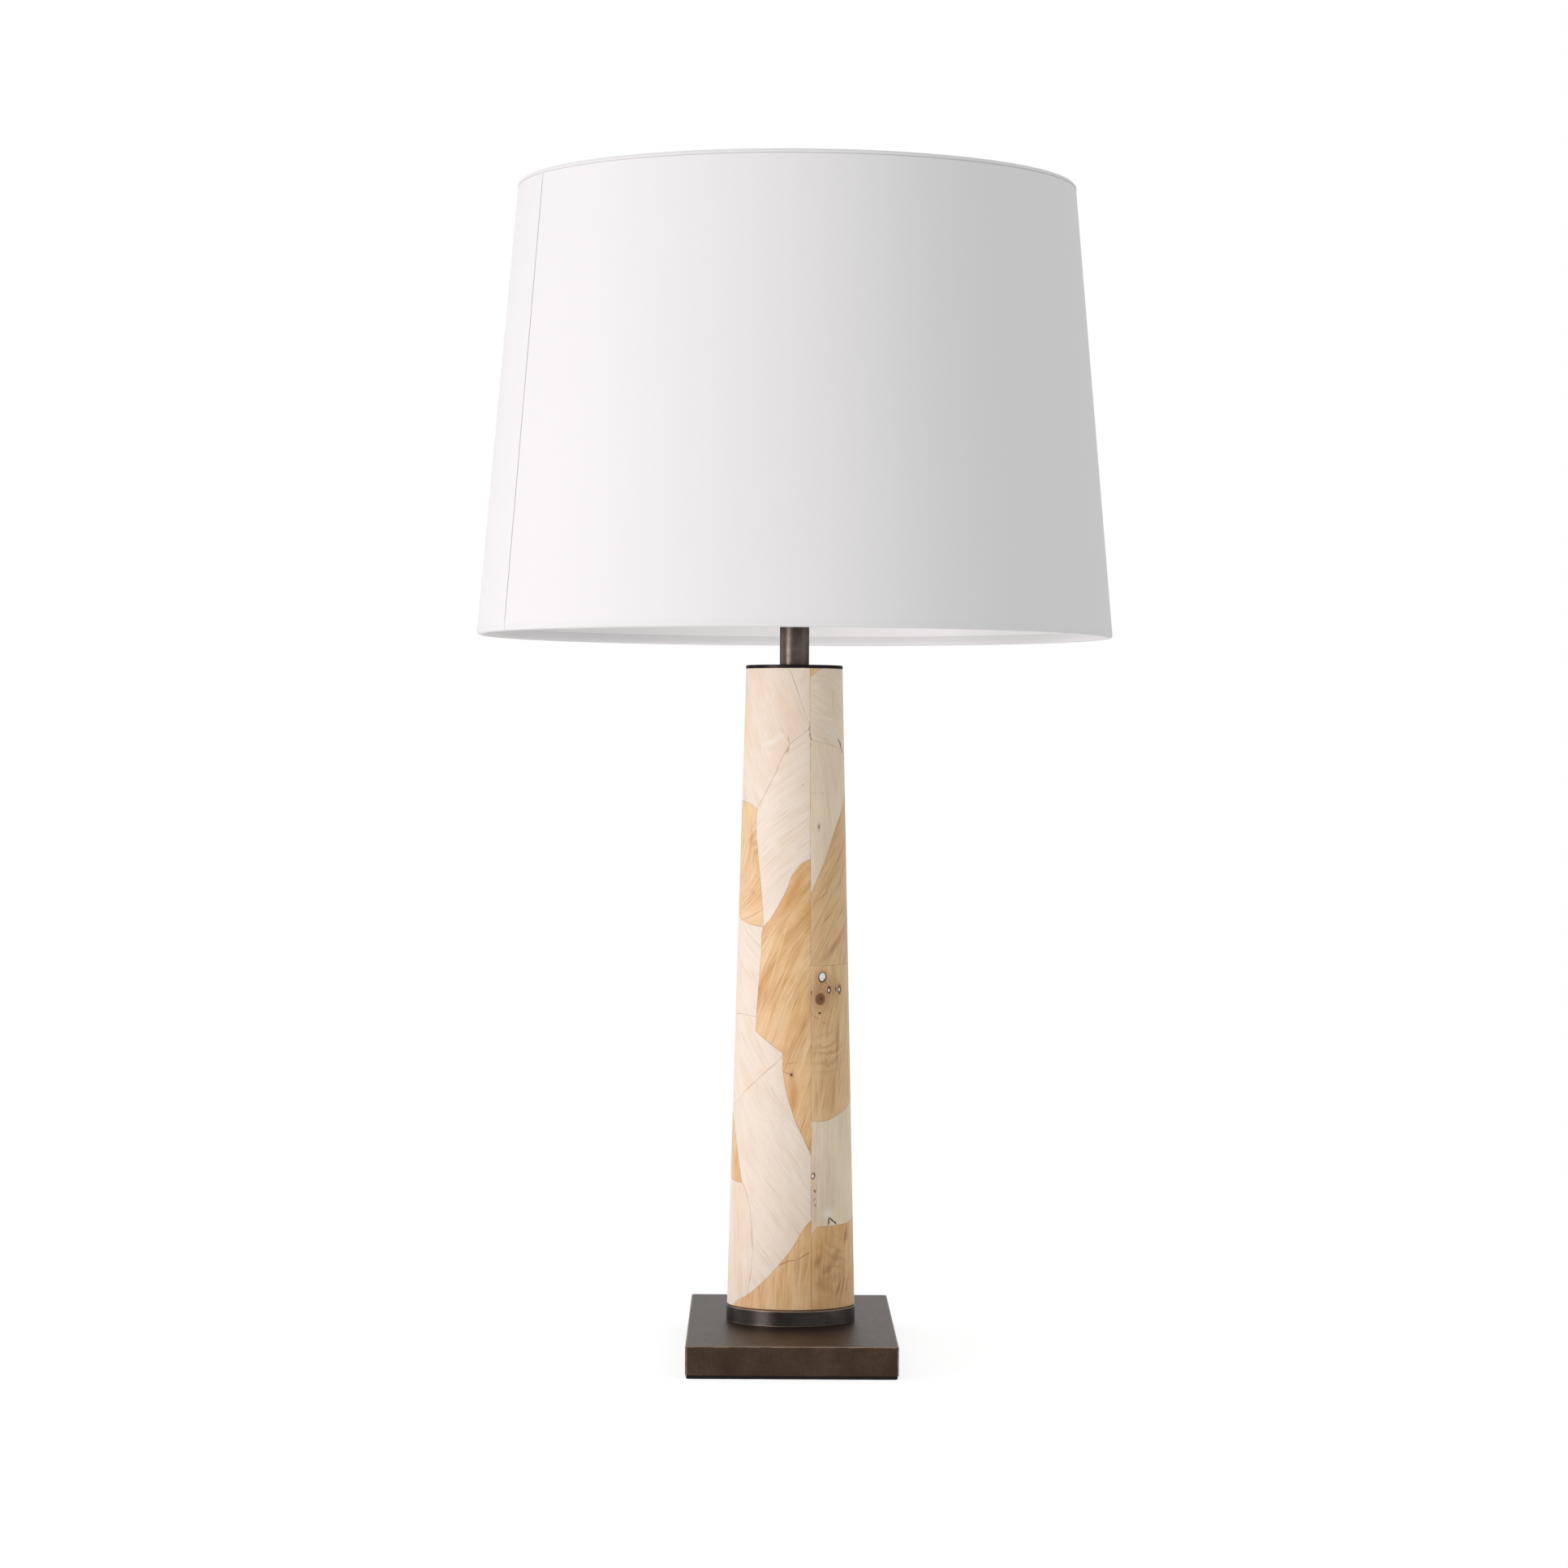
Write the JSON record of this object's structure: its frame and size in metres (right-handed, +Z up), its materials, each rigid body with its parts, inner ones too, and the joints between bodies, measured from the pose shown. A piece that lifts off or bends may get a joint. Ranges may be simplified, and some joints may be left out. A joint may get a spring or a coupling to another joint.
{
  "type": "table lamp",
  "caption": "Table lamp with a tapered column of patchwork wood veneer on an oblong bronze-finished base, under a round white fabric shade held on a harp.",
  "frame": {"origin": "on the table, under the middle of the base and the column's axis", "axes": "+Z up along the column, -Y towards the viewer at a narrow side of the base, +X to the viewer's right"},
  "size_m": [0.4328, 0.4327, 0.7924],
  "materials": {
    "felt": "black felt",
    "base_bronze": "satin brown bronze, worn at the edges",
    "collar_bronze": "satin dark bronze, worn at the rims",
    "dark_bronze": "satin dark bronze",
    "core_wood": "plain turned wood",
    "pale_veneer": "satin, pale figured veneer",
    "honey_veneer": "satin, honey figured veneer with knots",
    "steel": "zinc plated",
    "harp_brass": "antique brass",
    "holder_brass": "drawn brass",
    "insulating_board": "pressed board",
    "black_moulding": "moulded, satin black",
    "black_rubber": "matt black",
    "black_glass": "gloss black",
    "bulb_metal": "rolled, bright",
    "frosted_glass": "white frosted",
    "shade_fabric": "fine white weave",
    "shade_liner": "smooth white sheet",
    "white_wire": "white coated wire"
  },
  "bodies": {
    "stand": {"felt_pad": "felt", "base_plate": "base_bronze", "cord_grommet": "black_rubber", "base_flat_washer": "steel", "base_lock_washer": "steel", "base_nut": "steel", "base_collar": "collar_bronze", "column_core": "core_wood", "veneer_pale_pieces": "pale_veneer", "veneer_honey_pieces": "honey_veneer", "column_top_cap": "dark_bronze", "column_nut": "steel", "threaded_pipe": "steel", "neck_tube": "dark_bronze", "harp_saddle": "harp_brass", "harp_wire": "harp_brass", "harp_top_hub": "harp_brass", "holder_cap": "holder_brass", "holder_shell": "holder_brass", "holder_insulating_sleeve": "insulating_board", "holder_body": "black_moulding", "holder_screw_shell": "holder_brass", "holder_centre_contact": "holder_brass", "terminal_screws": "holder_brass"},
    "switch": {"switch_shaft": "steel", "switch_knob": "black_moulding"},
    "left_sleeve": {"harp_sleeve_left": "harp_brass"},
    "right_sleeve": {"harp_sleeve_right": "harp_brass"},
    "bulb": {"bulb_tip_contact": "bulb_metal", "bulb_insulator": "black_glass", "bulb_screw_cap": "bulb_metal", "bulb_globe": "frosted_glass"},
    "shade": {"shade_fabric": "shade_fabric", "shade_liner": "shade_liner", "shade_bottom_ring": "white_wire", "shade_top_ring": "white_wire", "shade_bottom_hem": "shade_fabric", "shade_top_hem": "shade_fabric", "shade_spider": "harp_brass"},
    "finial": {"finial": "dark_bronze"}
  },
  "joints": [
    {"name": "switch_turn", "type": "hinge", "parent": "stand", "child": "switch", "pos_m": [0, -0.02, 0.5574], "axis": [0, -1, 0], "continuous": true},
    {"name": "left_sleeve_lift", "type": "slide", "parent": "stand", "child": "left_sleeve", "axis": [0, 0, 1], "range_m": [0, 0.014]},
    {"name": "right_sleeve_lift", "type": "slide", "parent": "stand", "child": "right_sleeve", "axis": [0, 0, 1], "range_m": [0, 0.014]},
    {"name": "bulb_turn", "type": "hinge", "parent": "stand", "child": "bulb", "pos_m": [0, 0, 0.5686], "axis": [0, 0, 1], "continuous": true},
    {"name": "shade_turn", "type": "hinge", "parent": "stand", "child": "shade", "pos_m": [0, 0, 0.767], "axis": [0, 0, 1], "continuous": true},
    {"name": "finial_turn", "type": "hinge", "parent": "stand", "child": "finial", "pos_m": [0, 0, 0.769], "axis": [0, 0, 1], "continuous": true}
  ]
}
